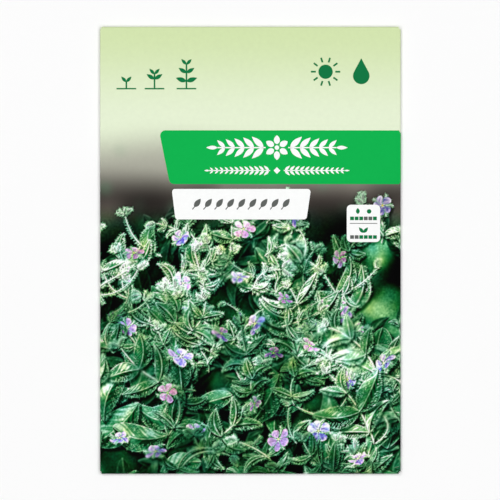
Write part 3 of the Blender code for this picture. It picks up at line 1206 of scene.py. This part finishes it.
def build_box_marks(green, grey):
    """Two rows of cells, as on a sowing calendar, under a leaf and a disc and over two leaves."""
    middle = complex(BOX_LEFT + BOX_RIGHT, BOX_TOP + BOX_FOOT) / 2
    inner = BOX_RIGHT - BOX_LEFT - 2 * BOX_INSET
    greens, lines = [], [level(middle, inner / 2, 0.18)]
    for up, filled in ((0.85, (0, 1, 2, 5)), (-4.1, (2, 3, 4, 5))):
        full, empty = calendar_row(
            BOX_LEFT + BOX_INSET, middle.imag + up, inner / BOX_CELLS,
            BOX_CELL_HEIGHT, BOX_CELL_GAP, BOX_CELLS, filled,
        )
        greens += full
        lines += empty
    greens.append(blade(middle - 1.5 + 2.5j, pi / 2, 1.6, 1.0, 8, 0.8))
    greens.append(disc(middle + 1.5 + 3.2j, 0.6))
    greens += [blade(middle - 2.5j, pi / 2 + turn, 1.9, 0.9) for turn in (-0.7, 0.7)]
    film("print_box_marks", greens, green, ORNAMENT_LIFT)
    film("print_box_lines", lines, grey, ORNAMENT_LIFT)


def build_header_pictograms(green):
    """Plain growing pictograms: three stages of a seedling, and a sun with a drop."""
    shapes = sun_shapes(20 + 47.5j, 1.9) + [drop(29.5 + 46.4j, 2.2)]
    for pairs, (foot, tall) in enumerate(((-33 + 43j, 2.2), (-25.5 + 43j, 4.8), (-17 + 43j, 8.0)), 1):
        shapes.append(level(foot, 2.6, GROUND_WIDTH))
        shapes += seedling(foot, tall, pairs, 2.0)
    film("print_header_pictograms", shapes, green, PANEL_LIFT)


def build_back(white, green, dark_green, grey):
    """A plain back: a band, two bare panels, a calendar without words, and three pictograms."""
    bands = [rectangle(*BACK_BAND)] + [disc(centre, BACK_DISC_RADIUS, 40) for centre in BACK_DISCS]
    film("back_bands", bands, green, PICTURE_LIFT, back_face)
    bare = [rounded(rectangle(*BACK_PANEL), [BACK_PANEL_CORNER] * 4),
            rounded(rectangle(*BACK_NOTE), [BACK_NOTE_CORNER] * 4)]
    film("back_bare_panels", bare, white, PICTURE_LIFT, back_face)
    months, cells = [], []
    for row, sown in enumerate(((2, 3, 4, 8), (5, 6, 7, 8, 9)), 1):
        foot, height = CALENDAR_TOP - row * CALENDAR_ROW + CALENDAR_GAP, CALENDAR_ROW - CALENDAR_GAP
        full, empty = calendar_row(CALENDAR_LEFT, foot, CALENDAR_CELL, height, CALENDAR_GAP, 12, sown)
        months += full
        cells += empty
    film("back_calendar_months", months, dark_green, PICTURE_LIFT, back_face)
    film("back_calendar_cells", cells, white, PICTURE_LIFT, back_face)
    line = level(1j * BACK_LINE_Y, -CALENDAR_LEFT, BACK_LINE_WIDTH)
    film("back_line", [line], grey, PICTURE_LIFT, back_face)
    sun, rain, growth = BACK_DISCS
    ground = growth - 3.2j
    icons = sun_shapes(sun, 2.4) + [drop(rain - 1.2j, 2.6), level(ground, 4.8, GROUND_WIDTH)]
    for side in (-3, 3):
        icons += seedling(ground + side, 4.4, 2, 1.8)
    film("back_icons", icons, white, PANEL_LIFT, back_face)


def finish_seeds(coat):
    for name in SEEDS:
        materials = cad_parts[name].data.materials
        materials.clear()
        materials.append(coat)


# Floor, lights and camera, in metres
FLOOR_SIZE, FLOOR_GAP = 4.0, 0.06 * MM
LAMP_SIZE = 0.8
LAMPS = {
    "key": ((-0.525, 0.6, 1.2), 6.7),
    "fill": ((0.6375, 0.4125, 1.2), 5.1),
    "low_left": ((-0.5625, -0.5625, 1.2), 4.8),
    "low_right": ((0.5625, -0.5625, 1.2), 4.8),
}
WORLD_STRENGTH = 0.2
CAMERA_PLACE = (-0.1 * MM, 0.08 * MM, 1.3)
SEEN_HEIGHT, SEEN_WIDTH = 2 * MM, 132.98 * MM


def build_stage():
    bpy.ops.mesh.primitive_plane_add(size=FLOOR_SIZE, location=(0, 0, -FLOOR_GAP))
    floor = bpy.context.object
    floor.name = "floor"
    floor.data.materials.append(material("floor_paint", floor_finish))


def light_scene():
    for name, (place, power) in LAMPS.items():
        data = bpy.data.lights.new(name, "AREA")
        data.shape = "DISK"
        data.size = LAMP_SIZE
        data.energy = power
        lamp = add_object(name, data, place)
        lamp.rotation_euler = (-Vector(place)).to_track_quat("-Z", "Y").to_euler()
    world = bpy.data.worlds.new("studio")
    world.use_nodes = True
    inputs = {"Color": (1, 1, 1, 1), "Strength": WORLD_STRENGTH}
    wire(world.node_tree, world.node_tree.nodes["Background"], inputs)
    bpy.context.scene.world = world


def build_camera():
    """Straight above the packet, and as wide at the height of its front as the photo's view."""
    data = bpy.data.cameras.new("camera")
    data.sensor_width = 36.0
    data.lens = data.sensor_width * (CAMERA_PLACE[2] - SEEN_HEIGHT) / SEEN_WIDTH
    data.clip_end = 20
    bpy.context.scene.camera = add_object("camera", data, CAMERA_PLACE)
    bpy.context.scene.view_settings.view_transform = "Standard"


def main():
    build_camera()
    light_scene()
    build_stage()
    canvas = painted_front()
    inks = material("painted_inks", printed)
    inner_paper = material("inner_paper", bare_paper, linear(240, 240, 234), 0.75)
    cut_edge = material("cut_edge", bare_paper, linear(232, 231, 222), 0.85)
    build_sheet(canvas, inks, inner_paper, cut_edge)
    build_picture(canvas, inks)
    white = material("white_ink", printed, WHITE)
    green = material("green_ink", printed, BANNER_GREEN)
    dark_green = material("dark_green_ink", printed, ICON_GREEN)
    grey = material("grey_ink", printed, ICON_GREY)
    build_panels(white, green)
    build_banner_ornament(white)
    build_label_ornament(grey)
    build_box_marks(dark_green, grey)
    build_header_pictograms(dark_green)
    build_back(white, green, dark_green, grey)
    finish_seeds(material("seed_coat_brown", seed_coat))


main()
